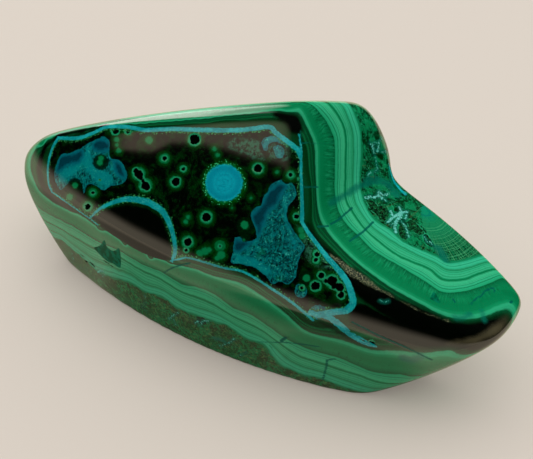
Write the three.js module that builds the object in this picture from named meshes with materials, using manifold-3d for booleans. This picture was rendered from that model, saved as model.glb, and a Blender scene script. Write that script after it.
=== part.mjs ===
// A polished freeform of malachite with a chrysocolla pocket: one stone, ground by hand into
// gently domed facets that meet in soft edges, with a low lobe stepped down from its hump.
// Millimetres, +Z up. The origin is the centre of the stone's box, on the plane it rests on.

import * as THREE from 'three';
import { mergeVertices } from 'three/addons/utils/BufferGeometryUtils.js';
import Module from 'manifold-3d';

// Driving dimensions

const heartHeight = 26; // every facet is measured from this point above the base
const edgeSoftness = 1.2; // rounding where two facets meet
const stepSoftness = 2.1; // rounding of the inside corner between the hump and the lobe
const roughHalfSizes = new THREE.Vector3(75, 34, 28); // proportions of the mesh that is shrunk on
const meshDivisions = 20; // splits of each edge of the starting icosahedron
const searchReach = 150; // farther than any part of the surface lies from the heart
const searchHalvings = 32; // bisections that place a vertex on the surface

// Each ground facet: the way it faces (turn is degrees round from +X, rise is degrees above
// level), how far it lies from the heart, and the radius of its dome.

const bodyFacets = {
  front: { turn: -98, rise: 36, reach: 18.5, dome: 130 },
  lowerFront: { turn: -100, rise: 0, reach: 22.5, dome: 150 },
  top: { turn: 115, rise: 53, reach: 30.6, dome: 630 },
  back: { turn: 67, rise: 3, reach: 33.5, dome: 270 },
  backLow: { turn: 87, rise: -45, reach: 37, dome: 90 },
  leftFront: { turn: -150, rise: 5, reach: 62.9, dome: 240 },
  left: { turn: 171, rise: 11, reach: 82.5, dome: 120 },
  leftLow: { turn: -171, rise: -31, reach: 67.6, dome: 180 },
  leftBack: { turn: 114, rise: 37, reach: 45.5, dome: 150 },
  right: { turn: 1, rise: 1, reach: 82.5, dome: 120 },
  rightLow: { turn: -19, rise: -39, reach: 60.3, dome: 90 },
  frontLowRight: { turn: -55, rise: -48, reach: 45, dome: 150 },
};

const humpFacets = {
  humpRight: { turn: -21, rise: 32.5, reach: 23.5, dome: 340 },
  humpLow: { turn: -21, rise: 17, reach: 20.6, dome: 470 },
  shoulder: { turn: 24.5, rise: 55.5, reach: 36.5, dome: 270 },
  humpBack: { turn: 29, rise: -16, reach: 30, dome: 260 },
};

const lobeFacets = {
  lobeTop: { turn: -39, rise: 80, reach: 15, dome: 230 },
  lobeBack: { turn: 51, rise: 30, reach: 50.5, dome: 150 },
  lobeNotch: { turn: 84, rise: -31.5, reach: 12.2, dome: 700 },
};

// The surface

function facetDirection({ turn, rise }) {
  const round = THREE.MathUtils.degToRad(turn);
  const up = THREE.MathUtils.degToRad(rise);
  return new THREE.Vector3(
    Math.cos(round) * Math.cos(up),
    Math.sin(round) * Math.cos(up),
    Math.sin(up),
  );
}

// How far a point, given from the heart, lies outside one domed facet.

function outsideFacet(point, facet) {
  const alongFacet = point.dot(facet.direction);
  const sidewaysSquared = point.lengthSq() - alongFacet ** 2;
  return alongFacet - facet.reach + sidewaysSquared / (2 * facet.dome);
}

// The largest of some distances, with the corner between near ones rounded off.

function softMaximum(distances, softness) {
  const largest = Math.max(...distances);
  const total = distances.reduce((sum, distance) => sum + Math.exp((distance - largest) / softness), 0);
  return largest + softness * Math.log(total);
}

function softMinimum(distances, softness) {
  return -softMaximum(distances.map((distance) => -distance), softness);
}

function withDirections(facets) {
  return Object.values(facets).map((facet) => ({ ...facet, direction: facetDirection(facet) }));
}

const body = withDirections(bodyFacets);
const hump = withDirections(humpFacets);
const lobe = withDirections(lobeFacets);

// The hump and the lobe are each cut by their own facets, and the lower of the two gives way to
// the higher, so they meet in an inside corner. Everything else is cut by all the body's facets.

function outsideStone(point) {
  const outside = (facets) => facets.map((facet) => outsideFacet(point, facet));
  const outsideHump = softMaximum(outside(hump), edgeSoftness);
  const outsideLobe = softMaximum(outside(lobe), edgeSoftness);
  const outsideStep = softMinimum([outsideHump, outsideLobe], stepSoftness);
  return softMaximum([...outside(body), outsideStep], edgeSoftness);
}

// The distance from the heart to the surface along a direction, found by halving.

function surfaceReach(direction) {
  let inside = 0;
  let beyond = searchReach;
  for (let step = 0; step < searchHalvings; step += 1) {
    const middle = (inside + beyond) / 2;
    if (outsideStone(direction.clone().multiplyScalar(middle)) < 0) {
      inside = middle;
    } else {
      beyond = middle;
    }
  }
  return inside;
}

function groundStone() {
  const ball = new THREE.IcosahedronGeometry(1, meshDivisions);
  ball.deleteAttribute('normal');
  ball.deleteAttribute('uv');
  const stone = mergeVertices(ball);
  const places = stone.attributes.position;
  const direction = new THREE.Vector3();
  for (let index = 0; index < places.count; index += 1) {
    direction.fromBufferAttribute(places, index).multiply(roughHalfSizes).normalize();
    direction.multiplyScalar(surfaceReach(direction));
    places.setXYZ(index, direction.x, direction.y, direction.z + heartHeight);
  }
  return stone;
}

// The flat base, ground off at z = 0

const wasm = await Module();
wasm.setup();

function solidFrom(geometry) {
  const merged = geometry.clone();
  merged.deleteAttribute('normal');
  merged.deleteAttribute('uv');
  const closed = mergeVertices(merged);
  return new wasm.Manifold(new wasm.Mesh({
    numProp: 3,
    vertProperties: new Float32Array(closed.attributes.position.array),
    triVerts: new Uint32Array(closed.index.array),
  }));
}

function geometryFrom(solid) {
  const mesh = solid.getMesh();
  const geometry = new THREE.BufferGeometry();
  geometry.setAttribute('position', new THREE.BufferAttribute(mesh.vertProperties, 3));
  geometry.setIndex(new THREE.BufferAttribute(mesh.triVerts, 1));
  return geometry;
}

function withFlatBase(stone) {
  const wheel = new THREE.BoxGeometry(2 * searchReach, 2 * searchReach, searchReach);
  wheel.translate(0, 0, -searchReach / 2);
  return geometryFrom(solidFrom(stone).subtract(solidFrom(wheel)));
}

// The box is centred on the origin, and its underside stays at z = 0.

function centred(geometry) {
  geometry.computeBoundingBox();
  const middle = geometry.boundingBox.getCenter(new THREE.Vector3());
  geometry.translate(-middle.x, -middle.y, 0);
  return geometry;
}

const polishedMalachite = new THREE.MeshStandardMaterial({
  color: new THREE.Color(0.03, 0.33, 0.19),
  roughness: 0.1,
  metalness: 0,
});

const stoneGeometry = centred(withFlatBase(groundStone()));
stoneGeometry.computeVertexNormals();

const stone = new THREE.Mesh(stoneGeometry, polishedMalachite);
stone.name = 'stone';

const specimen = new THREE.Group();
specimen.add(stone);

export default specimen;
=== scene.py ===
import math
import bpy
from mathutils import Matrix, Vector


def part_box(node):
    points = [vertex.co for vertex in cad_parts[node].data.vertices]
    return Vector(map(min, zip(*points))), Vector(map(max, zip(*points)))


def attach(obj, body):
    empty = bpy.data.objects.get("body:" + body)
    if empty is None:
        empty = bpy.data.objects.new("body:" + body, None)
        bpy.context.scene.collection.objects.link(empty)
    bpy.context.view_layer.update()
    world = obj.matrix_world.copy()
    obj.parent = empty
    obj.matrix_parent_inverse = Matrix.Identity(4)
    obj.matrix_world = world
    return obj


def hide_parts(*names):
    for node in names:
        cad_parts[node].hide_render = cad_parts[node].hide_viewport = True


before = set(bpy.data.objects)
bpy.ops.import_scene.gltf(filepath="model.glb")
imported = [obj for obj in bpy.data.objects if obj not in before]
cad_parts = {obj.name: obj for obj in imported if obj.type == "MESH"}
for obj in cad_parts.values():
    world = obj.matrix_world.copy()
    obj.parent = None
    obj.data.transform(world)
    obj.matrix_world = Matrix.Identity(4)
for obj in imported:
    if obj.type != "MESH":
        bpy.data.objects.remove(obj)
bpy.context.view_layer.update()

from types import SimpleNamespace

import bmesh
import bpy
import numpy as np
from mathutils import Vector
from mathutils.kdtree import KDTree

mm = 0.001
scene = bpy.context.scene


# Camera. Markings are placed by where they are seen: across and down a frame 533 wide and 459 high.

cameraSet = dict(
    turn=19, rise=40,  # degrees round from the front and above level
    distance=309, aimRight=0.86,  # millimetres from the heart of the stone, and the aim beside it
    focal=85, film=36, frameWide=533, frameHigh=459,
)


def facing(turn, rise):
    # unit vector from degrees round from +X and degrees above level
    a, e = math.radians(turn), math.radians(rise)
    return np.array([math.cos(a) * math.cos(e), math.sin(a) * math.cos(e), math.sin(e)])


back = facing(cameraSet["turn"] - 90, cameraSet["rise"])
right = facing(cameraSet["turn"], 0)
up = np.cross(back, right)
lensAt = back * cameraSet["distance"] + right * cameraSet["aimRight"]  # from the heart, in mm
focalFrame = cameraSet["focal"] / cameraSet["film"] * cameraSet["frameWide"]
frameMiddle = np.array([cameraSet["frameWide"], cameraSet["frameHigh"]]) / 2


def seenAt(points):
    # frame places of points given from the heart, and how far off each one is
    away = points - lensAt
    depth = -(away @ back)
    sideways = np.stack([away @ right, -(away @ up)], 1)
    return frameMiddle + focalFrame * sideways / depth[:, None], depth


# Shape. Each ground facet faces a way, lies so far from the heart, and is domed with a radius.

stoneShape = dict(
    heartHeight=26, edgeSoftness=1.2, stepSoftness=2.1, baseSoftness=0.25,
    body=dict(
        front=(-98, 36, 18.5, 130), lowerFront=(-100, 0, 22.5, 150), top=(115, 53, 30.6, 630),
        back=(67, 3, 33.5, 270), backLow=(87, -45, 37, 90), leftFront=(-150, 5, 62.9, 240),
        left=(171, 11, 82.5, 120), leftLow=(-171, -31, 67.6, 180), leftBack=(114, 37, 45.5, 150),
        right=(1, 1, 82.5, 120), rightLow=(-19, -39, 60.3, 90), frontLowRight=(-55, -48, 45, 150),
    ),
    hump=dict(humpRight=(-21, 32.5, 23.5, 340), humpLow=(-21, 17, 20.6, 470),
              shoulder=(24.5, 55.5, 36.5, 270), humpBack=(29, -16, 30, 260)),
    lobe=dict(lobeTop=(-39, 80, 15, 230), lobeBack=(51, 30, 50.5, 150), lobeNotch=(84, -31.5, 12.2, 700)),
    roughHalfSizes=(75, 34, 28), ballLevels=7,
    fineFacing=0.44,  # faces turned to the lens by more than this cosine are split once more
)
search = dict(fromHeart=150.0, pastHeart=90, step=1.5, halvings=30)  # how far and in what steps, in mm


def outsideFacet(points, facet):
    turn, rise, reach, dome = facet
    along = points @ facing(turn, rise)
    sidewaysSquared = (points ** 2).sum(1) - along ** 2
    return along - reach + sidewaysSquared / (2 * dome)


def softMaximum(distances, softness):
    stack = np.stack(distances)
    largest = stack.max(0)
    return largest + softness * np.log(np.exp((stack - largest) / softness).sum(0))


def outsideStone(points):
    edge = stoneShape["edgeSoftness"]
    hump, lobe = (softMaximum([outsideFacet(points, facet) for facet in stoneShape[part].values()], edge)
                  for part in ("hump", "lobe"))
    step = -softMaximum([-hump, -lobe], stoneShape["stepSoftness"])
    body = [outsideFacet(points, facet) for facet in stoneShape["body"].values()]
    ground = softMaximum(body + [step], edge)
    below = -points[:, 2] - stoneShape["heartHeight"]
    return softMaximum([ground, below], stoneShape["baseSoftness"])


def halve(start, direction, near, far):
    # the place between near and far, along each direction, where the surface is crossed
    for _ in range(search["halvings"]):
        middle = (near + far) / 2
        inside = outsideStone(start + direction * middle[:, None]) < 0
        near, far = np.where(inside, middle, near), np.where(inside, far, middle)
    return start + direction * near[:, None]


def surfaceAlong(directions):
    reach = np.full(len(directions), search["fromHeart"])
    return halve(0, directions, reach * 0, reach)


def onStone(framePoints):
    # where sight lines through frame places first meet the stone; lines that miss it are left out
    places = (np.reshape(framePoints, (-1, 2)) - frameMiddle) / focalFrame
    lines = places[:, :1] * right - places[:, 1:] * up - back
    lines /= np.linalg.norm(lines, axis=1, keepdims=True)
    middle, reach = cameraSet["distance"], search["pastHeart"]
    depths = np.arange(middle - reach, middle + reach, search["step"])
    probes = lensAt + lines[:, None] * depths[:, None]
    inside = (outsideStone(probes.reshape(-1, 3)) < 0).reshape(len(lines), -1)
    hit = inside.any(1)
    first = depths[inside[hit].argmax(1)]
    return halve(lensAt, lines[hit], first, first - search["step"]), hit


def groundStone():
    ball = bmesh.new()
    bmesh.ops.create_icosphere(ball, subdivisions=stoneShape["ballLevels"], radius=1)

    def place():
        directions = np.array([v.co for v in ball.verts]) * stoneShape["roughHalfSizes"]
        directions /= np.linalg.norm(directions, axis=1, keepdims=True)
        points = surfaceAlong(directions)
        for vertex, point in zip(ball.verts, points):
            vertex.co = point
        ball.normal_update()

    # the side that is looked at gets the finer mesh
    start = {v.index: v.co.copy() for v in ball.verts}
    place()
    fine = set()
    lens = Vector(lensAt)
    for face in ball.faces:
        if (lens - face.verts[0].co).normalized().dot(face.normal) > stoneShape["fineFacing"]:
            fine.update(face.edges)
    for vertex in ball.verts:
        vertex.co = start[vertex.index]
    bmesh.ops.subdivide_edges(ball, edges=list(fine), cuts=1, use_grid_fill=True)
    bmesh.ops.triangulate(ball, faces=ball.faces)
    place()
    mesh = bpy.data.meshes.new("stone")
    ball.to_mesh(mesh)
    ball.free()
    return mesh


# Markings, as seen in the frame, by the field that they make. Lines and outlines are smooth curves through
# the places given: across and down, across and down.

runs, outlines, spots = {}, {}, {}

veins = dict(  # blue chrysocolla veins: half widths at both ends in mm, then the places
    top=(0.5, 0.6, [58, 138, 78, 138, 93, 133, 107, 127, 127, 127, 146, 130, 172, 129, 206, 130, 241, 130,
        268, 127, 275, 132, 284, 139, 297, 149, 301, 158]),
    spike=(0.25, 0.55, [299, 134, 301, 148, 301, 171, 302, 200, 302, 222]),
    right=(0.45, 0.85, [302, 222, 308, 232, 317, 244, 327, 257, 336, 267, 346, 280, 351, 292, 353, 303,
        348, 309]),
    foot=(0.75, 0.8, [352, 306, 347, 310.5, 338, 311.5, 328, 313, 318, 315, 311, 313]),
    left=(0.55, 0.4, [58, 138, 52, 149, 48, 166, 48.5, 183, 52, 192]),
    strip=(0.15, 0.5, [388.5, 163, 391, 173, 394, 181, 399, 188, 405, 194]),
    lowerLeft=(0.25, 0.2, [52, 192, 69, 204, 89, 218, 98, 225]),
    lower=(0.2, 0.4, [170, 261, 180, 259, 189, 258, 207, 263, 224, 268, 241, 271, 255, 278, 269, 287,
        290, 301, 306, 314, 313, 320]),
    tail=(0.7, 0.85, [320, 314, 330, 318, 337, 323, 343, 328]),
    tailEnd=(0.85, 0.25, [343, 328, 351, 335, 361, 341.5, 369, 345, 376, 346.5]),
    tailEdge=(0.2, 0.25, [352, 333, 360, 337.5, 368, 342, 376, 346.5]),
    archRise=(0.3, 0.85, [90, 218, 96, 212, 103, 207, 117, 201, 131, 199, 148, 202]),
    archFall=(0.85, 0.5, [148, 202, 162, 211, 170, 225, 174, 240, 175, 252, 172, 261]),
)
runs["vein"] = veins.values()
runs["lustre"] = [  # brighter stretches of the chrysocolla: one half width
    (1.6, [63, 176, 73, 168, 84, 160, 92, 168, 99, 176, 108, 180]), (0.9, [88, 160, 88, 150]),
    (0.5, [112, 168, 120, 174]), (0.4, [70, 168, 78, 156]), (1.0, [238, 258, 252, 263, 266, 271]),
    (0.35, [263, 224, 260, 232, 254, 243]), (0.35, [286, 196, 285, 210, 287, 224, 296, 246]),
    (0.5, [265, 146, 268, 140, 277, 139]), (0.5, [276, 149, 280, 154]),
]
runs["crust"] = [  # ragged turquoise threads and crusts
    (0.12, [369.6, 142.5, 372.5, 147, 375, 150.5, 380, 151.4, 387, 151.8]),
    (0.12, [370, 143, 374, 143.5, 378.3, 142, 378.8, 146, 377, 150.5]), (0.1, [378.3, 142, 382.6, 138.2]),
    (0.1, [372, 147, 374, 154]), (0.05, [374.5, 153, 376.7, 164.8, 377.8, 169]),
    (0.06, [376.7, 170.6, 372.3, 172.2, 368.4, 174, 368.5, 175.6]),
    (0.2, [365.8, 198, 370.2, 196.7, 374.5, 197.3, 378.3, 195.6, 382.1, 198.7]),
    (0.14, [378, 196, 380, 192.6, 384, 195.6, 388.5, 193.4]), (0.1, [382, 197, 386, 200.5]),
    (0.08, [378, 195, 379, 190.6]), (0.3, [393.5, 217, 398, 214, 402, 212.5, 407, 212]),
    (0.16, [399, 207, 402, 212]), (0.35, [402, 213, 399, 218, 396, 222]), (0.12, [407, 213, 405, 219]),
    (0.22, [397, 222, 394.7, 226, 396, 232]), (0.1, [397, 222, 391, 225]),
    (0.07, [401, 221, 405, 226, 407.5, 232, 408.7, 237]), (0.2, [393, 216, 391, 211]),
    (0.2, [393, 217, 388, 222]), (0.06, [72, 253, 73, 260, 70, 263]), (0.06, [80, 268, 87, 270]),
    (0.06, [424.3, 236.3, 427, 241.7]), (0.06, [429.8, 241.7, 432, 244]),
    (0.06, [145, 296, 145, 302, 142, 307, 147, 311]), (0.1, [169, 319, 172, 316, 178, 313]),
    (0.06, [173, 319, 176, 325]), (0.08, [195, 323, 199, 321]), (0.08, [200, 326, 203, 321, 208, 321]),
    (0.22, [98, 272, 102, 270.5, 104, 274, 102, 277]), (0.08, [220, 346, 228, 343, 234, 339]),
    (0.05, [240, 356, 246, 352]), (0.02, [380, 300.5, 384, 302, 389, 301]),
]
runs["crack"] = [  # dark blue-green healed cracks
    (0.1, [318, 226.5, 328, 226]), (0.14, [331, 224, 338, 220, 345, 214, 352, 208]),
    (0.16, [350, 241, 357, 236, 365, 230, 373, 222]),
    (0.12, [471, 304, 477, 298, 481, 296, 485, 291, 492, 288, 495, 291]), (0.05, [489, 289, 490, 294]),
    (0.05, [494, 288, 494, 293]), (0.2, [510.5, 302.5, 512, 301.5]), (0.05, [300.5, 131, 301, 143, 301, 146]),
    (0.08, [302, 143, 319, 143, 334, 142.5]), (0.08, [302, 187, 318, 187]),
    (0.07, [352, 322, 380, 336, 405, 347, 432, 360]), (0.1, [455, 302, 453, 299]),
    (0.26, [281, 341, 286, 337.5]), (0.06, [258, 342, 281, 342.5, 300, 344, 320, 347]),
    (0.22, [327, 360, 326, 368, 323, 379]), (0.1, [327, 360, 335, 359]),
    (0.08, [164, 273, 170, 269, 178, 266, 190, 263]),
]
runs["teal"] = [  # soft blue-green stretches in the green; the first two, along the crease between the hump and the lobe, are painted shade
    (0.5, [331, 203, 339, 198, 348, 193, 360, 186, 375, 181]),
    (0.9, [366, 183, 378, 181, 390, 186, 396, 194]), (0.25, [482, 311, 484, 320]),
    (0.4, [224, 341, 214, 338]), (0.5, [436, 247, 441, 254, 445, 260]), (0.5, [440, 248, 444, 256, 446, 261]),
    (0.3, [455, 317, 462, 318, 470, 314]), (0.8, [404, 358, 412, 360, 420, 357]),
]
runs["inkAndShade"] = [  # nearly black stretches of the first layers; on the front of the lobe (the first two) the black is partly painted shade
    (2.2, 4.2, [352, 276, 368, 292, 395, 309, 425, 323, 455, 335, 485, 335, 515, 318]),
    (3.2, 3.2, [362, 316, 390, 330, 420, 342, 450, 346]),
    (0.8, 1.6, [104, 125, 84, 130, 64, 134, 50, 141, 43, 152, 39, 168, 43, 186, 53, 199]),
    (1.6, 0.8, [53, 199, 70, 210, 92, 222]), (2.2, 1.8, [281, 111, 290, 117, 296, 127]),
    (0.3, 0.9, [308, 224, 316, 238, 328, 251, 342, 264]),
    (0.3, 0.6, [320, 322, 334, 329, 346, 337, 362, 346, 382, 351]),
]
runs["grit"] = [  # gravelly brown along the edge of the first layers
    (0.3, 1.0, [331, 255, 341, 263, 349, 270]), (1.0, 0.9, [349, 270, 358, 276, 367, 282]),
    (0.9, 0.22, [367, 282, 376, 287.5, 386, 293]), (0.22, 0.12, [386, 293, 405, 303, 425, 313, 451, 322]),
]
runs["earth"] = [  # brown towards the low end: partly the stone's brown, partly a painted reflection of the warm haze
    (0.4, 1.3, [448, 344, 470, 341, 487, 335, 500, 326, 511, 315]),
]
runs["pit"] = [  # small black hollows near the lower edge
    (0.28, [79, 254, 84, 257]), (0.22, [86, 262, 91, 263]), (0.35, [91, 264, 95, 267]),
    (0.16, [84, 260, 87, 264]), (0.2, [103, 260, 108, 263.5, 113, 267]), (0.2, [364, 341, 367, 342.5]),
    (0.12, [270, 346, 272, 348]),
]

outlines["pocket"] = [[  # the dark pocket inside the veins
    58, 138, 78, 138, 93, 133, 107, 127, 127, 127, 146, 130, 172, 129, 206, 130, 241, 130, 268, 127, 284, 139,
    299, 150, 302, 171, 302, 222, 317, 244, 336, 267, 346, 280, 351, 292, 353, 303, 331, 310, 313, 320,
    290, 301, 269, 287, 241, 271, 207, 263, 189, 258, 172, 261, 150, 256, 125, 243, 98, 225, 69, 204, 52, 192,
    48, 176, 49, 158,
]]
outlines["blackAndShadeUnderArch"] = [[  # its black part under the arch, where the pocket's black is deepened by painted shade
    95, 221, 103, 211, 117, 205, 131, 203, 148, 206, 159, 214, 166, 227, 170, 240, 171, 252, 168, 260,
    150, 256, 125, 243,
]]
outlines["patch"] = [  # chrysocolla
    [55, 182, 54.4, 172, 57.6, 162, 62, 154.5, 71, 152.6, 80.6, 148.2, 89, 143, 98.4, 138.6, 104.2, 136,
     109.3, 142.4, 109.3, 151, 111.2, 158.4, 120, 161, 127, 173, 126, 180, 120, 184.5, 111, 186, 103.5, 190.3,
     96, 185.8, 87.6, 184.5, 83.8, 194, 81.9, 184.5, 75, 181, 67.2, 183.9, 60.8, 190],
    [281, 180, 287, 184, 291, 182, 296, 191, 293, 200, 288, 208, 287, 218, 292, 228, 299, 238, 305, 247,
     300, 255, 297, 268, 295, 278, 288, 284, 279, 281, 272, 284, 264, 274, 254, 268, 242, 264, 231, 262,
     233, 250, 235, 238, 241, 237, 249, 241, 256, 238, 255, 228, 251, 215, 256, 207, 262, 205, 264, 196,
     268, 191, 272, 184],
    [264, 151, 261.5, 143, 266, 137.5, 276, 136, 286, 140, 289, 147, 283, 144, 274, 141.5, 268, 145,
     268, 151],
    [272.5, 147, 279, 145, 284, 150, 282, 158, 276, 157],
    [296, 284, 304, 285, 307, 292, 302, 298, 295, 294],
    [306, 315, 313, 306, 322, 306, 327, 311, 324, 317, 316, 320],
]
outlines["calm"] = [  # the calm deep teal parts of it
    [281, 181, 287, 187, 281, 198, 276, 206, 269, 213, 264, 226, 259, 236, 249, 245, 241, 252, 233, 250,
     235, 238, 249, 241, 256, 238, 255, 228, 251, 215, 261, 204, 268, 191],
    [56, 176, 57, 164, 62, 155, 72, 153, 82, 149, 84, 156, 79, 163, 68, 166, 60, 172],
    [101, 138, 109, 142, 109, 151, 100, 152, 93, 150, 93, 143],
    [112, 160, 120, 162, 126, 173, 124, 179, 116, 174],
]
outlines["cloud"] = [  # pale veils over the pocket: painted reflection
    [226, 143, 236, 137.5, 250, 138, 260, 142, 263, 152, 266, 160, 256, 160, 247, 156, 238, 151, 229, 149],
    [266, 147, 274, 142, 284, 145, 290, 153, 286, 161, 274, 161, 267, 156],
    [294, 224, 303, 225, 313, 238, 324, 251, 334, 266, 331, 272, 318, 267, 307, 262, 303, 246],
]
outlines["oval"] = [  # dark botryoidal ovals in the green
    [366, 201, 370, 199, 376, 204, 380, 210, 378, 214, 372, 211],
    [378, 207, 384, 205, 389, 211, 388, 219, 382, 221, 377, 215],
    [399, 225, 404, 224, 408, 231, 407, 239, 402, 238, 398, 232],
    [407, 222, 412, 220, 420, 227, 424, 233, 418, 235, 411, 229],
    [423, 235, 427, 234, 432, 241, 435, 247, 429, 246, 424, 241],
    [372, 143.5, 375, 143, 378, 146, 376, 149, 373.5, 147.5],
    [196, 316, 204, 318, 206, 324, 198, 323],
]
outlines["flake"] = [  # dark teal flakes with straight sides
    [93.7, 248, 100, 245.5, 104.5, 240, 107, 247, 114, 251, 119.5, 249, 120.5, 267, 113, 263.5, 106, 260.5],
    [388, 167, 391, 167, 393, 176, 396, 184, 404, 192, 400, 193, 393, 186, 389, 177],
    [430, 299, 434, 292, 440, 303],
]
outlines["fan"] = [[  # needles that spread from one place
    420, 208, 429, 205, 445, 214, 460, 228, 474, 245, 482, 255, 470, 258, 458, 261, 447, 262, 440, 257,
    433, 247, 428, 235, 422, 222,
]]
fanPlace = [424, 211]

rings = [  # green rings round dark holes: across, down, radius, hole
    (164.5, 158.5, 6, 2.2), (138.6, 174, 7.8, 4.2), (145.5, 185.5, 7.8, 4), (183.4, 169, 4.6, 1.7),
    (175.6, 182, 7, 3.8), (258, 168.5, 7.4, 4), (206.4, 217.2, 7.6, 4.4), (187.7, 242, 7.4, 4),
    (186, 250, 4.2, 1.6), (220, 246, 6.3, 1.1), (93, 192.8, 5.2, 1.4), (87.8, 206.6, 6.4, 2.8),
    (115.4, 131, 5.6, 3.3), (128, 131, 5.4, 2.4), (194.6, 139.4, 8, 5), (290.7, 175, 5.6, 1.9),
    (299, 179, 1.8, 0.8), (296.8, 216.7, 5.4, 2.6), (321.3, 275.4, 5.6, 2.8), (315.7, 286, 7.2, 4.2),
    (332, 281, 8.2, 5), (340, 287, 7, 4.4), (341, 295, 5.4, 3.4), (317, 254, 5.6, 2.6), (316, 260, 5.2, 2),
    (302, 288, 3.8, 1.8), (371, 342.5, 3.6, 2), (99.8, 180, 1.4, 0.5),
]
spots["ring"] = [ring[:3] for ring in rings]
spots["hole"] = [(across, down, hole) for across, down, _, hole in rings] + [
    (136, 171, 2.6), (141, 178, 2.4), (143, 181, 1.8), (147.5, 188, 2.2), (142.5, 187, 1.6), (177, 180, 2.4),
    (189, 240, 2.2), (196, 141, 2.8), (334, 286, 3), (326, 281, 2.2), (313.5, 288, 2), (374, 344, 1.5),
]
spots["spot"] = [  # plain green spots
    (221, 255, 5), (217, 258, 3.4), (245, 225, 4.8), (185.6, 221.5, 3.2), (188, 217, 3.2), (214.4, 149, 3.6),
    (217.5, 155, 3.4), (306.5, 278, 4.4), (99.8, 162.5, 3.8), (101, 158.5, 3.6), (116.5, 139.5, 3.6),
    (116.8, 145, 2.6), (118.8, 150.6, 3.4), (75, 185.5, 3.6), (301.4, 230, 4.4), (302.4, 236, 4.2),
    (69.7, 197, 4.2), (149, 140, 4.6), (251, 198, 2.4), (205, 251, 4.6), (200, 253, 4.2), (209, 250, 3.6),
    (277, 172, 2.6), (244, 240, 2), (232, 208, 1.6),
]
spots["darkRing"] = [(100.7, 162.2, 8.3), (74.8, 185.8, 7.7), (245, 226, 8.4), (306.5, 278, 8), (246, 237, 5)]
spots["disc"] = [(224, 182.8, 19.2)]

# Growth layers around the pocket: how deep a layer lies outside it, in mm, and where it crops out.

layerLines = {
    3.4: [
        [299, 108, 305, 118, 311, 131, 316, 143, 317, 166, 318, 200, 323, 220, 339, 243, 365, 267, 398, 290,
         424, 303, 438, 311, 455, 316, 476, 316, 493, 310, 510, 304],
        [280, 108.5, 235, 113.5, 186, 118.5, 150, 121.5, 110, 124.5, 80, 128.5, 62, 132.5, 53, 135.5,
         45, 139.5, 37, 145, 30, 156, 29, 168, 31.5, 177, 36, 187, 41, 194, 58, 206, 77, 214.5, 96, 226,
         114, 236, 122, 242.5, 130, 243, 139, 246.5, 148, 254, 160, 259.5, 173, 264, 188, 268.5, 198, 271,
         212, 277, 236, 283, 253, 292, 270, 303, 287, 316, 303, 331, 320, 337, 341, 342, 361, 349, 376, 353,
         400, 353.5, 425, 356, 450, 352],
    ],
    8: [
        [312, 105, 324, 118, 332, 133, 335, 143, 335, 193, 343, 220, 360, 236, 373, 250, 395, 263, 410, 272,
         427, 282, 440, 291.5, 453, 292.5, 466, 290.5, 485, 285, 502, 277.5],
        [290, 103, 250, 106, 200, 112.5, 160, 117, 120, 121],
        [39, 208, 52, 216, 71, 225, 96, 241, 122, 252, 141, 264, 160, 271, 182, 285, 194, 286, 215, 294.5,
         233, 308.5, 250, 314, 267, 325.5, 284, 338, 299, 345, 313, 350.5, 334, 356, 345, 360, 360, 367,
         376, 373, 400, 374],
    ],
    10.6: [
        [326, 101.5, 335, 111.5, 342, 122.5, 346, 136.5, 346, 165, 346, 199, 352, 210, 359, 221, 366, 230,
         377, 239.5, 387, 248, 401, 258, 420, 264.5, 433, 271, 441, 279, 454, 280, 466, 279, 479, 273.5],
        [45, 221, 58, 227.5, 77, 239, 93, 248, 107, 253, 122, 258, 141, 269.5, 160, 278.5, 180, 291, 194, 296,
         212, 304, 229, 314, 243, 321, 258, 328, 271, 337, 284, 346.5, 299, 356, 320, 363, 341, 370,
         362, 376],
    ],
    12.7: [
        [344, 110, 350, 125, 353, 138, 353, 165, 352.5, 190, 356, 205, 363, 216, 373, 228, 387, 238, 405, 248,
         420, 256, 436, 263, 446, 269.5, 460, 270, 472, 267],
        [119, 271, 131, 274.5, 145, 285, 160, 288.5, 173, 296, 186, 304, 205, 310, 220, 315.5, 235, 325,
         250, 332, 262, 337],
    ],
    14.5: [
        [349, 103, 356, 115, 360, 129, 362, 142, 361, 165, 360, 182, 365, 203, 371, 215, 378, 222, 387, 227,
         394, 232, 403, 242, 421, 249.5, 437, 256, 447, 262, 459, 261, 472, 258, 480, 255.5],
        [62, 240, 74, 251, 88, 263, 99, 273.5, 113, 278, 131, 283, 148, 293, 162, 296, 177, 308, 194, 314,
         216, 322.5, 228, 325.5, 239, 334, 250, 341, 264, 344, 271, 355, 281, 366, 292, 370, 303, 375.5,
         320, 378],
    ],
    18: [
        [384, 152, 382, 135, 374, 122, 425, 206, 446, 227, 394, 181, 400, 200],
        [84, 270, 104, 288, 138, 309, 184, 331, 231, 351, 255, 362],
    ],
    2.6: [[36, 153, 41, 147, 47, 143, 54, 139.5]],
    1.6: [
        [348, 264, 365, 277, 381, 289, 406, 305, 430, 318],
        [400, 330, 430, 338, 460, 338, 490, 328],
    ],
    0: outlines["pocket"],
    -9: [[110, 165, 150, 180, 224, 150, 224, 200, 280, 200, 315, 290, 220, 240]],
}
fibreLayer = 3.4  # fibres cross the layers at even steps along this one
layerBehind = {  # the same for the sides that the frame doesn't show, from the heart in mm
    12: [(-30, 25, 20), (-62, 10, 4), (0, 30, 28)],
    18: [(-35, 32, 8), (5, 34, 20), (25, 28, 10), (50, 22, -2)],
    24: [(-20, 36, 2), (-45, 26, -12), (20, 33, -2)],
    30: [(-2, 38, -2), (10, 34, -18), (40, 20, -20)],
    20: [(0, -15, -26), (-40, -10, -26), (40, -8, -26)],
}


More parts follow.
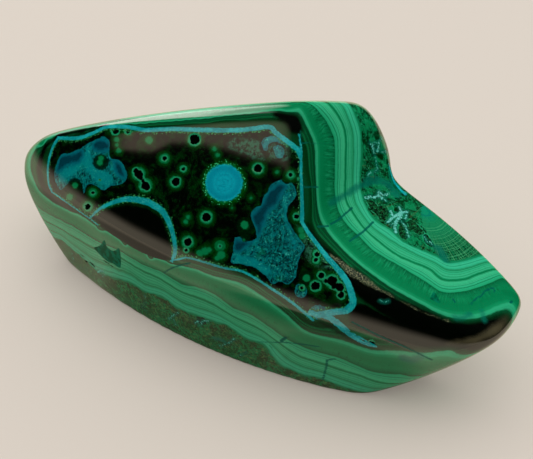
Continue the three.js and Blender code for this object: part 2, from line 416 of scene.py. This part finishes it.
def curveThrough(points, spacing=1.0):
    # a smooth run through frame points, and how far along it each place is, from 0 to 1
    points = np.reshape(points, (-1, 2))
    padded = np.vstack([2 * points[0] - points[1], points, 2 * points[-1] - points[-2]])
    run = []
    for a, b, c, d in zip(padded, padded[1:], padded[2:], padded[3:]):
        t = np.linspace(0, 1, max(2, int(np.linalg.norm(c - b) / spacing)), endpoint=False)[:, None]
        run.append(0.5 * (2 * b + (c - a) * t + (2 * a - 5 * b + 4 * c - d) * t ** 2
                          + (3 * b - a - 3 * c + d) * t ** 3))
    run = np.vstack(run + [points[-1:]])
    return run, np.linspace(0, 1, len(run))


def withinOutline(places, outline):
    x, y = places.T
    inside = np.zeros(len(places), bool)
    for (ax, ay), (bx, by) in zip(outline, np.roll(outline, -1, axis=0)):
        if ay != by:
            inside ^= ((ay > y) != (by > y)) & (x < (bx - ax) * (y - ay) / (by - ay) + ax)
    return inside


class Marker:
    # measures the stone's vertices against the markings; every field is in mm

    unseen = 5  # at least so far are the unseen sides from the round marks
    apart = 100  # what keeps the lengths of one run from those of the next

    def __init__(self, points, normals):
        self.points = points
        self.places, depth = seenAt(points)
        self.mmEach = depth / focalFrame
        self.seen = ((lensAt - points) * normals).sum(1) > 0

    def toPlaces(self, framePoints):
        # nearest distance from every vertex to places on the stone, and which one is nearest
        found, hit = onStone(framePoints)
        tree = KDTree(len(found))
        for index, place in enumerate(found):
            tree.insert(place, index)
        tree.balance()
        near = [tree.find(point)[1:] for point in self.points]
        nearest = np.nonzero(hit)[0][[index for index, _ in near]]
        return np.array([distance for _, distance in near]), nearest

    def toRuns(self, marks):
        # signed distance outside the thick lines
        places, halfWidths = [], []
        for *widths, points in marks:
            run, along = curveThrough(points)
            places.append(run)
            halfWidths.append(widths[0] + (widths[-1] - widths[0]) * along)
        distance, nearest = self.toPlaces(np.vstack(places))
        return distance - np.concatenate(halfWidths)[nearest]

    def toOutlines(self, marks):
        # signed distance outside closed outlines
        closed = [curveThrough(mark + mark[:2])[0] for mark in marks]
        distance, _ = self.toPlaces(np.vstack(closed))
        inside = np.zeros(len(self.points), bool)
        for outline in closed:
            inside |= withinOutline(self.places, outline) & self.seen
        return np.where(inside, -distance, distance)

    def toSpots(self, marks):
        # signed distance outside spots that look round in the frame
        across, down, radii = np.asarray(marks, float).T
        offset = np.hypot(self.places[:, :1] - across, self.places[:, 1:] - down)
        outside = (offset - radii).min(1) * self.mmEach
        return np.where(self.seen, outside, np.maximum(outside, self.unseen))

    def alongLines(self, lines):
        # how far along the nearest of the lines
        curves = [curveThrough(points)[0] for points in lines]
        toMm = cameraSet["distance"] / focalFrame
        lengths = [index * self.apart + toMm * np.hypot(*np.diff(curve, axis=0, prepend=curve[:1]).T).cumsum()
                   for index, curve in enumerate(curves)]
        return np.concatenate(lengths)[self.toPlaces(np.vstack(curves))[1]]


layerFit = dict(spacing=9, slack=0.3, parts=40)  # frame places, mm that outcrops may disagree, and batches


def layerDepths(points):
    # smooth interpolation between the layers' outcrops, by distance to each of them
    placed, depths = [], []
    for depth, lines in layerLines.items():
        for line in lines:
            placed.append(onStone(curveThrough(line, layerFit["spacing"])[0] if depth > 0 else line)[0])
            depths += [depth] * len(placed[-1])
    for depth, places in layerBehind.items():
        directions = np.array(places, float)
        placed.append(surfaceAlong(directions / np.linalg.norm(directions, axis=1, keepdims=True)))
        depths += [depth] * len(places)
    placed = np.vstack(placed)
    count = len(placed)
    plane = np.hstack([np.ones((count, 1)), placed])
    reach = np.linalg.norm(placed[:, None] - placed[None], axis=2)
    system = np.block([[reach - layerFit["slack"] * np.eye(count), plane], [plane.T, np.zeros((4, 4))]])
    weights = np.linalg.solve(system, np.concatenate([depths, np.zeros(4)]))
    found = []
    for part in np.array_split(points, layerFit["parts"]):
        reach = np.linalg.norm(part[:, None] - placed[None], axis=2)
        found.append(reach @ weights[:count] + np.hstack([np.ones((len(part), 1)), part]) @ weights[count:])
    return np.concatenate(found)


def smoothStep(value, low, high):
    t = np.clip((value - low) / (high - low), 0, 1)
    return t * t * (3 - 2 * t)


# How deep some marks are sunk, and how far inside their edge the slope starts and ends, in mm.

sunkMarks = dict(hole=(0.35, 0.05, 0.55), crack=(0.08, -0.15, 0.1), pit=(0.25, -0.1, 0.2))


def markStone(mesh):
    # the vertices with some marks sunk in, and every field at them
    points, normals = np.empty((2, len(mesh.vertices), 3))
    mesh.vertices.foreach_get("co", points.ravel())
    mesh.vertices.foreach_get("normal", normals.ravel())
    marker = Marker(points, normals)
    fields = dict(layer=layerDepths(points), along=marker.alongLines(layerLines[fibreLayer]))
    for measure, marks in ((marker.toRuns, runs), (marker.toOutlines, outlines), (marker.toSpots, spots)):
        for name, places in marks.items():
            fields[name] = measure(places)
    print("markings measured on", len(points), "vertices")
    for name, (depth, start, end) in sunkMarks.items():
        points = points - normals * depth * smoothStep(-fields[name], start, end)[:, None]
    return points, fields


# Shader maths as plain expressions.

class Wire:
    # one output of a node

    def __init__(self, tree, socket):
        self.tree, self.socket = tree, socket

    def node(self, kind, values, output=0, **settings):
        return addNode(self.tree, kind, values, output, **settings)

    def maths(self, operation, *values):
        return self.node("Math", dict(enumerate(values)), operation=operation)

    def vector(self, operation, *others, output=0):
        return self.node("VectorMath", dict(enumerate((self, *others))), output, operation=operation)

    def axis(self, index):
        return self.node("SeparateXYZ", {0: self}, index)

    def __rsub__(self, other):
        return self.maths("SUBTRACT", other, self)

    def __neg__(self):
        return self * -1

    def rise(self, low, high):
        # 0 below low, 1 above high and smooth between; falls where high is the lower
        if high < low:
            return 1 - self.rise(high, low)
        return self.node("MapRange", {"Value": self, "From Min": low, "From Max": high},
                         interpolation_type="SMOOTHSTEP")


def joined(operation):
    return lambda self, other: self.maths(operation, self, other)


Wire.__add__ = Wire.__radd__ = joined("ADD")
Wire.__sub__ = joined("SUBTRACT")
Wire.__mul__ = Wire.__rmul__ = joined("MULTIPLY")
Wire.__truediv__ = joined("DIVIDE")
Wire.least, Wire.most = joined("MINIMUM"), joined("MAXIMUM")


def addNode(tree, kind, values=None, output=0, stops=None, **settings):
    # a shader node with its values, given or wired, and one of its outputs
    node = tree.nodes.new("ShaderNode" + kind)
    for name, setting in settings.items():
        setattr(node, name, setting)
    if stops:
        elements = node.color_ramp.elements
        elements[0].position, elements[0].color = stops[0]
        elements[-1].position, elements[-1].color = stops[-1]
        for place, colour in stops[1:-1]:
            elements.new(place).color = colour
    for name, value in (values or {}).items():
        if isinstance(value, Wire):
            tree.links.new(value.socket, node.inputs[name])
        else:
            node.inputs[name].default_value = value
    return Wire(tree, node.outputs[output]) if len(node.outputs) else None


def srgb(red, green, blue):
    # the linear colour of 0 to 255 display values
    return tuple(((c / 255 + 0.055) / 1.055) ** 2.4 if c > 10 else c / 255 / 12.92
                 for c in (red, green, blue)) + (1,)


roomLift = 1.3  # the lit room shows a finish this many times darker than it is


def lifted(red, green, blue):
    # the colour of a finish that looks so in the lit room
    return tuple(min(1, c * roomLift) for c in srgb(red, green, blue)[:3]) + (1,)


def blend(base, over, amount):
    # one colour over another
    return amount.node("Mix", {0: amount, 6: base, 7: over}, 2, data_type="RGBA")


def layered(base, *coats):
    # colours over a base one after another, each with how much of it shows
    for over, amount in coats:
        base = blend(base, over, amount)
    return base


def newMaterial(name):
    material = bpy.data.materials.new(name)
    material.use_nodes = True
    material.node_tree.nodes.clear()
    return material, material.node_tree


polishedStone = dict(
    gloss=0.07, refraction=1.9, polishWave=0.05, holeEdge=0.02,  # the last two in mm
    growth={  # the green of a layer by its depth outside the vein, in mm
        0.0: (2, 58, 28), 0.7: (2, 48, 18), 1.3: (0, 42, 13), 1.65: (7, 88, 48), 1.95: (2, 58, 28),
        2.3: (2, 76, 40), 2.6: (0, 54, 24), 2.95: (2, 70, 38), 3.15: (34, 146, 102), 3.5: (34, 150, 104),
        3.8: (10, 128, 80), 4.3: (3, 112, 67), 5.3: (1, 106, 62), 6.6: (4, 113, 67), 7.4: (4, 100, 60),
        7.9: (1, 80, 43), 8.1: (26, 146, 99), 9.1: (34, 154, 107), 9.5: (47, 163, 115), 10.25: (40, 157, 108),
        10.42: (4, 108, 62), 10.72: (6, 112, 66), 10.9: (26, 143, 96), 11.5: (43, 158, 111),
        12.15: (38, 153, 107), 12.3: (15, 125, 80), 12.45: (42, 158, 110), 12.75: (12, 118, 72),
        13.1: (40, 160, 117), 14.1: (38, 158, 116), 14.5: (12, 122, 77), 14.85: (3, 84, 44),
    },
    cycleFrom=20.5, cycleBack=17.5,  # deeper layers repeat those that lie so much nearer
)
tone = SimpleNamespace(**{name: lifted(*seen) for name, seen in dict(
    ink=(1, 3, 1), darkGreen=(0, 36, 8), bottle=(2, 52, 26), forest=(2, 80, 44), green=(4, 112, 66),
    bright=(14, 138, 88), light=(36, 155, 108), mint=(84, 186, 146), olive=(92, 128, 74), moss=(26, 96, 48),
    brown=(46, 44, 26), earth=(66, 62, 44), sand=(128, 122, 84), gravel=(10, 24, 12), stones=(70, 84, 52),
    fanHeart=(6, 120, 86), fanGreen=(14, 112, 70), fanShade=(2, 92, 62), fanDeep=(2, 82, 44),
    fanArc=(56, 146, 98), needle=(74, 154, 100), fanRing=(0, 84, 84),
    mottle=(0, 38, 5), halo=(0, 52, 8), discHalo=(0, 60, 6), speck=(20, 104, 60), cloud=(36, 98, 74),
    tealShade=(0, 44, 52), tealLight=(0, 104, 104), tealBand=(0, 70, 66), ridge=(0, 22, 18),
    hollow=(0, 30, 20), pool=(2, 92, 60), shine=(0, 120, 122), thread=(8, 132, 116),
    turquoise=(60, 172, 158), deepTeal=(0, 50, 60), calmTeal=(0, 88, 98), teal=(0, 96, 102),
    darkRing=(0, 20, 4), eyeEdge=(0, 50, 10), eye=(0, 92, 46), eyeInside=(22, 132, 88),
    spotEdge=(0, 66, 28), spot=(4, 108, 62), fringe=(0, 84, 30), fringePearl=(60, 186, 126),
    disc=(0, 126, 142), discRing=(6, 154, 166), discBead=(0, 108, 126),
    oval=(10, 76, 40), ovalLight=(40, 132, 84), tealGreen=(0, 92, 74), flake=(0, 70, 44),
    flakeLight=(0, 96, 68), crack=(0, 74, 62), crust=(10, 142, 122), crustLight=(66, 178, 160),
    frost=(120, 210, 192), bead=(2, 78, 36), pearl=(66, 148, 88),
    vein=(0, 124, 126), veinLight=(18, 154, 154), veinDark=(0, 92, 104),
).items()})


# Patterns, with their grain sizes, spacings and amounts in mm.

def noise(vector, size, detail=2.0, roughness=0.5):
    return vector.node("TexNoise", {"Vector": vector, "Scale": 1 / (size * mm), "Detail": detail,
                                    "Roughness": roughness})


def warped(vector, size, amount, detail=2.0):
    # the vector pushed about by noise
    push = vector.node("TexNoise", {"Vector": vector, "Scale": 1 / (size * mm), "Detail": detail}, 1)
    return push.vector("MULTIPLY_ADD", (amount * mm,) * 3, vector)


def cellsOf(vector, size, feature="F1"):
    return vector.node("TexVoronoi", {"Vector": vector, "Scale": 1 / (size * mm)}, feature=feature)


def linesOf(value, spacing, detail=2.0):
    # noise in one dimension, for lines that follow a field
    return value.node("TexNoise", {"W": value / spacing, "Scale": 1.0, "Detail": detail, "Roughness": 0.6},
                      noise_dimensions="1D")


def bandedGreen(place, layer, fibres):
    # malachite grown in layers, each with its green, its hair lines and its fibres
    start, back = polishedStone["cycleFrom"], polishedStone["cycleBack"]
    cycled = layer - layer.rise(start - 0.05, start + 0.05) * back
    deepest = max(polishedStone["growth"])
    stops = [(depth / deepest, lifted(*green)) for depth, green in polishedStone["growth"].items()]
    inLight = cycled.rise(7.9, 8.2) * cycled.rise(14.7, 14.3)
    inMedium = cycled.rise(4.6, 6.2) * cycled.rise(8.1, 7.7)
    hair = linesOf(layer, 0.26, 3)
    dots = noise(warped(place, 2, 1), 0.75, 3, 0.65)
    fibrous = inMedium * place.axis(2).rise(0.02, 0.034)
    return layered(
        layer.node("ValToRGB", {0: cycled / deepest}, stops=stops),
        (tone.forest, hair.rise(0.47, 0.34) * (inLight * 0.4 + 0.12)),
        (tone.mint, hair.rise(0.56, 0.72) * inLight * 0.3),
        (tone.bottle, dots.rise(0.44, 0.3) * inMedium * 0.4),
        (tone.light, fibres.rise(0.5, 0.66) * fibrous * 0.34),
        (tone.bottle, fibres.rise(0.5, 0.34) * (0.08 + fibrous * 0.42)))


def mottledGreen(place, layer, fibres):
    # malachite that grew in clusters, with ovals and feathers, and brown towards the lower side
    swirl = warped(place, 5, 4, 3)
    body = noise(swirl, 2.6, 6, 0.66)
    cluster = cellsOf(warped(place, 2.5, 1.6, 3), 3.4)
    grassy = noise(warped(place, 1.4, 1.6, 3).vector("MULTIPLY", (1, 1, 0.5)), 0.7, 5, 0.7)
    edges = cellsOf(warped(place, 2, 1.4, 3), 2.6, "DISTANCE_TO_EDGE")
    low = place.axis(2).rise(0.024, 0.016)
    earthy = noise(swirl.vector("MULTIPLY", (1.2, 1, 1)), 3.6, 5, 0.65).rise(0.46, 0.58)
    return layered(
        tone.darkGreen,
        (tone.green, body.rise(0.4, 0.6)),
        (tone.darkGreen, linesOf(cluster, 0.16, 3).rise(0.5, 0.36) * body.rise(0.62, 0.5) * 0.8),
        (tone.bright, noise(swirl, 0.9, 5, 0.72).rise(0.56, 0.68) * 0.7),
        (tone.light, grassy.rise(0.54, 0.68) * 0.5),
        (tone.darkGreen, grassy.rise(0.46, 0.36) * 0.6),
        (tone.ink, noise(swirl, 1.6, 5, 0.7).rise(0.4, 0.32) * 0.75),
        (tone.light, edges.rise(0.035, 0.01) * noise(place, 3).rise(0.5, 0.6) * 0.6),
        (tone.olive, fibres.rise(0.56, 0.7) * noise(place, 4, 2).rise(0.42, 0.6) * 0.4),
        (tone.moss, low * 0.45),
        (tone.brown, earthy * layer.rise(18.5, 15.5) * low * 0.6),
        (tone.olive, noise(swirl, 1.0, 4, 0.7).rise(0.52, 0.64) * low * 0.45))


def needleFan(place, fanMiddle):
    # needles from one place, crossed by arcs round it
    fromFan = place.vector("SUBTRACT", fanMiddle)
    away = fromFan.vector("LENGTH", output=1) / mm
    needles = linesOf(away.maths("ARCTAN2", fromFan.axis(1), fromFan.axis(0)), 0.028, 3)
    body = noise(warped(place, 4, 3), 1.6, 4, 0.65)
    arcs = linesOf(away + body * 0.7, 0.42, 1)
    offRing = away + body * 0.8 - 1.9
    return layered(
        tone.fanHeart,
        (tone.fanGreen, (away + body * 5).rise(3.5, 6.5)),
        (tone.fanShade, noise(warped(place, 1.5, 1.5), 0.8, 5, 0.7).rise(0.48, 0.36) * 0.7),
        (tone.fanDeep, (away + body * 5).rise(9, 15) * 0.8),
        (tone.bottle, needles.rise(0.47, 0.38) * away.rise(3, 10) * 0.6),
        (tone.fanArc, arcs.rise(0.5, 0.66) * (away + body * 6).rise(5, 9) * 0.5),
        (tone.needle, needles.rise(0.54, 0.66) * away.rise(6, 12) * 0.45),
        (tone.ink, noise(place, 0.5, 3, 0.7).rise(0.46, 0.38) * away.rise(9, 13) * 0.6),
        (tone.fanRing, (offRing * offRing).rise(0.12, 0.02) * 0.4))


def pocketDark(place, ring, spot, disc):
    # the nearly black ground of the pocket, mottled with dark green
    cloudy = noise(warped(place, 3, 2), 2.0, 6, 0.74)
    halo = ring.least(spot) + noise(place, 0.5, 4, 0.7) * 1.5
    specks = noise(place, 0.32, 2, 0.6)
    return layered(
        tone.ink,
        (tone.mottle, cloudy.rise(0.47, 0.66)),
        (tone.halo, halo.rise(1.7, 0.6) * 0.9),
        (tone.discHalo, (disc + noise(place, 0.7, 3) * 1.8).rise(2.4, 1.0)),
        (tone.speck, specks.rise(0.66, 0.74) * cloudy.rise(0.46, 0.56) * 0.55))


def chrysocollaBlue(place, patch, calm, lustre):
    # deep teal where it is calm, elsewhere threads of turquoise and dark green
    flow = warped(warped(place, 5, 4, 3), 1.6, 1.4, 3)
    grain = noise(flow, 1.0, 6, 0.76)
    ridge = noise(flow, 1.7, 5, 0.66) - 0.5
    rugged = noise(place, 4, 3).rise(0.42, 0.58)
    threads = noise(flow.vector("MULTIPLY", (1, 1, 0.6)), 0.5, 5, 0.76)
    around = linesOf(patch + noise(flow, 1.4, 3) * 1.6, 0.5, 2)
    quiet = layered(
        tone.deepTeal,
        (tone.calmTeal, (calm + noise(place, 1.5, 4) * 1.8).rise(-0.3, 0.9)),
        (tone.teal, linesOf(calm + grain, 0.45, 1).rise(0.55, 0.65) * 0.35))
    return layered(
        tone.tealShade,
        (tone.tealLight, grain.rise(0.42, 0.58)),
        (tone.tealBand, around.rise(0.5, 0.4) * 0.6),
        (tone.ridge, ridge.maths("ABSOLUTE", ridge).rise(0.05, 0.008) * rugged * 0.85),
        (tone.hollow, noise(flow, 2.2, 5, 0.7).rise(0.44, 0.36) * 0.8),
        (tone.pool, noise(place, 2.4, 3).rise(0.56, 0.66) * 0.5),
        (tone.shine, (lustre + noise(flow, 1.2, 4, 0.7) * 2.4 - 1.2).rise(0.5, -0.5) * 0.7),
        (tone.thread, threads.rise(0.5, 0.6) * 0.6),
        (tone.turquoise, threads.rise(0.58, 0.68) * 0.9),
        (quiet, (calm + noise(flow, 0.8, 5, 0.7) * 2.2).rise(1.7, 0.7)),
        (tone.teal, patch.rise(-0.35, -0.1) * 0.6))


def stoneMaterial(fanMiddle):
    material, tree = newMaterial("polished malachite and chrysocolla")

    place = addNode(tree, "TexCoord", output=3)
    coarse, middling, fine = (noise(place, size, 3) - 0.5 for size in (9, 2.5, 0.6))
    uneven = fine * 0.7 + middling * 0.3

    def field(name, waves=0, grain=0):
        # a field, made uneven by some of the middling and the fine noise
        value = addNode(tree, "Attribute", output=2, attribute_name=name)
        for wave, amount in ((middling, waves), (fine, grain)):
            if amount:
                value = value + wave * amount
        return value

    pearls = cellsOf(place, 0.5)
    layer = field("layer") + coarse * 0.4 + middling * 0.25 + fine * 0.1
    ring, hole, spot, disc, vein = (field(name) for name in ("ring", "hole", "spot", "disc", "vein"))
    grown = addNode(tree, "CombineXYZ", {0: field("along") * mm, 1: layer * mm * 0.16})
    fibres = noise(grown, 0.42, 3, 0.62)

    # layers, clusters and the pocket, which is black under the arch, deepened there by painted shade, with a
    # green lining
    inFan = field("fan", 1.4, 1).rise(0.2, -0.3)
    mottled = blend(mottledGreen(place, layer, fibres), needleFan(place, fanMiddle), inFan)
    cycle = polishedStone["cycleFrom"]
    blackAndShadeUnderArch = field("blackAndShadeUnderArch").rise(0.1, -0.1)
    colour = layered(
        bandedGreen(place, layer, fibres),
        (mottled, (layer + middling * 1.2).rise(14.5, 14.8) * layer.rise(cycle, cycle - 0.3)),
        # the first layers made nearly black: the stone's black, and painted shade on the front of the lobe
        (tone.ink, field("inkAndShade", 1).rise(0.6, -0.8) * layer.rise(3.1, 2.2)),
        # painted reflection, partly the stone's own brown, at the low end of the lobe
        (tone.earth, field("earth", 1).rise(0.8, -1.0) * layer.rise(3, 1.5)),
        (pocketDark(place, ring, spot, disc), field("pocket").rise(0.1, -0.1)),
        # painted shade: under the arch the pocket is made wholly black, and dark green near the vein
        (tone.ink, blackAndShadeUnderArch),
        (tone.darkGreen, blackAndShadeUnderArch * field("vein", 1).rise(1.2, 0.1)))

    # painted veils, chrysocolla, dark rings, eyes, spots and holes
    patch = field("patch", 0.9, 0.5)
    veilGrain = noise(warped(place, 2, 1), 0.9, 4, 0.7).rise(0.4, 0.6)
    rim = ring + uneven * 0.8
    eye = layered(tone.eyeEdge, (tone.eye, rim.rise(0.02, -0.38)),
                  (tone.eyeInside, (hole + uneven).rise(0.5, 0.18) * 0.9))
    greenSpot = blend(tone.spotEdge, tone.spot, field("spot", 0.6, 0.4).rise(-0.05, -0.5))
    inHole = (hole + uneven * 1.1).rise(0.08, -0.04).most(field("pit", 0, 0.6).rise(0.06, -0.06))
    colour = layered(
        colour,
        # painted reflection: a pale veil over parts of the pocket
        (tone.cloud, field("cloud", 2, 1).rise(0.3, -0.9) * veilGrain * 0.75),
        (chrysocollaBlue(place, patch, field("calm"), field("lustre")), patch.rise(0.1, -0.08)),
        (tone.darkRing, field("darkRing", 0, 1).rise(0.2, -0.3) * 0.95),
        (eye, rim.rise(0.2, -0.12)),
        (greenSpot, (spot + uneven).rise(0.12, -0.2)),
        (tone.ink, inHole))

    # the blue disc, with its granular green fringe
    beads = noise(place, 0.42, 3, 0.7)
    discRings = linesOf(disc + beads * 0.9 + middling * 0.5, 1.5, 1).rise(0.3, 0.7)
    discBlue = layered(tone.disc, (tone.discRing, discRings), (tone.discBead, beads.rise(0.48, 0.38) * 0.6))
    colour = layered(
        colour,
        (blend(tone.fringe, tone.fringePearl, pearls.rise(0.4, 0.15)),
         (disc + pearls * 1.1 + middling * 1.8 - 0.4).rise(0.75, 0.35)),
        (discBlue, (disc + beads * 1.6 - 0.8).rise(-0.05, -0.3)))

    # markings in the green
    swirl = linesOf(cellsOf(warped(place, 2, 1.2, 3), 2.2), 0.14, 3)
    oval = field("oval", 0.6, 0.4)
    tangled = noise(warped(place, 1, 1), 0.6, 5, 0.72)
    inOval = layered(
        tone.ink,
        (tone.oval, tangled.rise(0.42, 0.56)),
        (tone.olive, swirl.rise(0.6, 0.68) * 0.5),
        (tone.ovalLight, tangled.rise(0.58, 0.68) * 0.8))
    flake = field("flake", 0, 0.3).rise(0.1, -0.08)
    crack = field("crack", 0, 0.3).rise(0.26, 0.02)
    crumbs = noise(warped(place, 1, 0.6), 0.5, 4, 0.7)
    crust = (field("crust") + crumbs * 1.7 - 0.85 + middling * 0.25).rise(0.1, 0.0)
    crustBlue = layered(tone.crust, (tone.crustLight, noise(place, 0.4, 3, 0.6).rise(0.42, 0.56)),
                        (tone.frost, noise(place, 0.3, 2).rise(0.6, 0.7)))
    grains = noise(place, 0.3, 2)
    gravel = layered(tone.gravel, (tone.stones, grains.rise(0.42, 0.52)),
                     (tone.sand, grains.rise(0.56, 0.64)))
    grit = field("grit", 1.2, 0.8).rise(0.2, -0.35)
    colour = layered(
        colour,
        (tone.light, oval.rise(0.35, 0.05) * noise(place, 1.4, 2).rise(0.45, 0.6) * 0.7),
        (inOval, oval.rise(0.08, -0.15)),
        # painted shade along the crease between the hump and the lobe, and blue-green stretches elsewhere
        (tone.tealGreen, field("teal", 1.2, 1).rise(0.9, -0.4) * 0.75),
        (blend(tone.flake, tone.flakeLight, noise(place, 1.4, 4).rise(0.4, 0.6)), flake),
        (tone.crack, crack * 0.9),
        (tone.tealGreen, field("crust", 1).rise(0.8, 0.1) * 0.5),
        (crustBlue, crust),
        (gravel, grit * 0.85))

    # blue veins, with a beaded green fringe on the side of the pocket
    bead = (vein + pearls * 0.9 + middling * 1.2 - 0.35).rise(0.6, 0.25) * field("pocket").rise(0.5, 0.0)
    veinBlue = layered(
        tone.vein,
        (tone.veinLight, (noise(place, 4, 3) + linesOf(vein, 0.2, 1) * 0.5).rise(0.66, 0.9)),
        (tone.turquoise, noise(place, 0.4, 3, 0.6).rise(0.54, 0.66) * 0.75),
        (tone.veinDark, noise(place, 0.36, 2).rise(0.42, 0.34) * 0.55))
    colour = layered(
        colour,
        (blend(tone.bead, tone.pearl, pearls.rise(0.42, 0.15)), bead * (1 - blackAndShadeUnderArch) * 0.9),
        (veinBlue, (vein + fine * 0.35 + middling * 0.15).rise(0.05, -0.08)))

    # polished, but for the holes, flakes and cracks
    height = noise(place, 13, 1) * polishedStone["polishWave"] + inHole * polishedStone["holeEdge"]
    relief = addNode(tree, "Bump", {"Strength": 1.0, "Distance": mm, "Height": height})
    glossy = addNode(tree, "BsdfPrincipled", {
        "Base Color": colour, "Roughness": crust * 0.3 + polishedStone["gloss"] + grit * 0.2,
        "IOR": polishedStone["refraction"], "Normal": relief})
    dull = addNode(tree, "BsdfPrincipled", {"Base Color": colour, "Roughness": 1, "Specular IOR Level": 0})
    unpolished = inHole.most(flake * 0.8).most(crack * 0.7)
    surface = addNode(tree, "MixShader", {0: unpolished, 1: glossy, 2: dull})
    addNode(tree, "OutputMaterial", {"Surface": surface})
    return material


def makeStone():
    # the stone at its place; what is returned is where its heart came to lie, in mm
    mesh = groundStone()
    points, fields = markStone(mesh)
    low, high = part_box("stone")
    middle = (points.min(0) + points.max(0)) / 2
    settle = np.array([(low.x + high.x) / 2 / mm - middle[0], (low.y + high.y) / 2 / mm - middle[1],
                       stoneShape["heartHeight"]])
    mesh.vertices.foreach_set("co", ((points + settle) * mm).ravel())
    for name, values in fields.items():
        mesh.attributes.new(name, "FLOAT", "POINT").data.foreach_set("value", values)
    mesh.shade_smooth()
    mesh.update()
    stone = bpy.data.objects.new("polishedStone", mesh)
    scene.collection.objects.link(stone)
    fanMiddle = (onStone([fanPlace])[0][0] + settle) * mm
    mesh.materials.append(stoneMaterial(tuple(fanMiddle)))
    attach(stone, "root")
    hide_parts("stone")
    print("stone:", len(mesh.polygons), "triangles, heart at", settle)
    return settle


heart = makeStone()


# Stage.

stage = dict(
    floorRadius=0.36, paper=srgb(176, 167.5, 158), paperLift=0.39, roomSeen=srgb(225, 215, 204),
    keyTurn=155, keyRise=38, keyAway=1.4, keyWide=1.6, keyHigh=0.8, keyGlow=0.72, keyTint=(1, 0.98, 0.95),
    dome=1.95, domeFrom=(-0.05, 0.35, 0.9), hazeGlow=(0.59, 0.51, 0.38, 1), veilTint=(1, 0.95, 0.78),
    windowGlow=(3.9, 3.75, 3.55, 1), stripGlow=(0.5, 0.4, 0.3, 1),  # mirrored only
    sillGlow=(0.95, 0.95, 0.88, 1),
    shades=[  # painted shadows on the paper, seen only in the stone's reflections: middle, half sizes and depth
        (0.029, -0.04, 0.023, 0.03, 0.7), (0.005, -0.115, 0.05, 0.07, 0.9),
        (-0.095, -0.12, 0.105, 0.085, 0.5), (-0.075, 0, 0.04, 0.03, 0.4), (-0.018, -0.034, 0.038, 0.02, 0.8),
    ],
)
black = (0, 0, 0, 1)


def aimed(name, data, place, away):
    # a camera or light at a place, with its back to a direction
    thing = bpy.data.objects.new(name, data)
    thing.location = place
    thing.rotation_mode = "QUATERNION"
    thing.rotation_quaternion = Vector(away).to_track_quat("Z", "Y")
    scene.collection.objects.link(thing)
    return thing


def makeCamera():
    lens = bpy.data.cameras.new("camera")
    lens.lens, lens.sensor_width, lens.clip_start = cameraSet["focal"], cameraSet["film"], 10 * mm
    scene.camera = aimed("camera", lens, (lensAt + heart) * mm, back)


def makeFloor():
    mesh = bpy.data.meshes.new("floor")
    sheet = bmesh.new()
    bmesh.ops.create_circle(sheet, cap_ends=True, segments=96, radius=stage["floorRadius"])
    sheet.to_mesh(mesh)
    sheet.free()
    floor = bpy.data.objects.new("floor", mesh)
    scene.collection.objects.link(floor)
    material, tree = newMaterial("pale paper")
    place = addNode(tree, "TexCoord", output=3)
    x, y = place.axis(0), place.axis(1)
    shade = x * 0
    # painted shadows, shown only to mirrored rays
    for middleX, middleY, halfX, halfY, depth in stage["shades"]:
        across, along = (x - middleX) / halfX, (y - middleY) / halfY
        shade = shade.most((across * across + along * along).rise(1.6, 0.3) * depth)
    tinted = tuple(c * t for c, t in zip(stage["paper"], stage["veilTint"])) + (1,)
    mirrored = addNode(tree, "LightPath", output=3)
    colour = blend(stage["paper"], blend(tinted, black, shade), mirrored)
    paper = addNode(tree, "BsdfPrincipled", {
        "Base Color": colour, "Roughness": 0.9, "Specular IOR Level": 0.1,
        "Emission Color": colour, "Emission Strength": stage["paperLift"]})
    addNode(tree, "OutputMaterial", {"Surface": paper})
    mesh.materials.append(material)


def makeKey():
    # a soft rectangular light that faces the stone
    light = bpy.data.lights.new("key", "AREA")
    light.shape, light.size, light.size_y = "RECTANGLE", stage["keyWide"], stage["keyHigh"]
    light.energy = math.pi * stage["keyWide"] * stage["keyHigh"] * stage["keyGlow"]
    light.color = stage["keyTint"]
    toKey = facing(stage["keyTurn"], stage["keyRise"])
    aimed("key", light, toKey * stage["keyAway"], toKey).visible_glossy = False


def makeRoom():
    # seen straight on the room is pale; it lights from above and behind, and mirrors dark
    world = bpy.data.worlds.new("room")
    scene.world = world
    world.use_nodes = True
    tree = world.node_tree
    tree.nodes.clear()
    direction = addNode(tree, "TexCoord")
    x, y, z = (direction.axis(axis) for axis in range(3))
    dome = direction.vector("DOT_PRODUCT", Vector(stage["domeFrom"]).normalized(), output=1)
    lit = blend(black, (stage["dome"],) * 3 + (1,), dome.most(0))
    front = (-y).most(0)
    haze = (z + 0.06 - front * 0.25) / (0.03 + front * 0.06)

    # in degrees: a window behind the left end, a sill below it, and a strip over the front along X
    turn, rise, over, along = (angle * (180 / math.pi) for angle in (
        x.maths("ARCTAN2", y, x), z.maths("ARCSINE", z), z.maths("ARCTAN2", z, -y), x.maths("ARCSINE", x)))
    turn = turn + turn.rise(-89.9, -90.1) * 360
    inWindow = turn.rise(117, 140) * (turn - (rise - 12) * 1.15).rise(152, 147) * rise.rise(10, 16)
    inWindow = inWindow * (rise.rise(52, 42) * 0.6 + 0.4) * rise.rise(64, 54)
    lowEdge = over + 2 - along.rise(-56, -50) * 4 + along.rise(-42, -24) * 2
    inStrip = lowEdge.rise(49, 51.5) * over.rise(64, 60) * along.rise(2, -24) * along.rise(-70, -62)
    inSill = turn.rise(110, 124) * turn.rise(156, 148) * rise.rise(-9, -3) * rise.rise(22, 14)
    mirrored = layered(black, (stage["hazeGlow"], haze.rise(1, -1)), (stage["stripGlow"], inStrip),
                       (stage["sillGlow"], inSill), (stage["windowGlow"], inWindow))
    isSeen, isMirrored = (addNode(tree, "LightPath", output=output) for output in (0, 3))
    shown = layered(lit, (mirrored, isMirrored), (stage["roomSeen"], isSeen))
    sky = addNode(tree, "Background", {"Color": shown, "Strength": 1.0})
    addNode(tree, "OutputWorld", {"Surface": sky})


makeCamera()
makeFloor()
makeKey()
makeRoom()
scene.view_settings.view_transform = "Standard"
print("stage set")
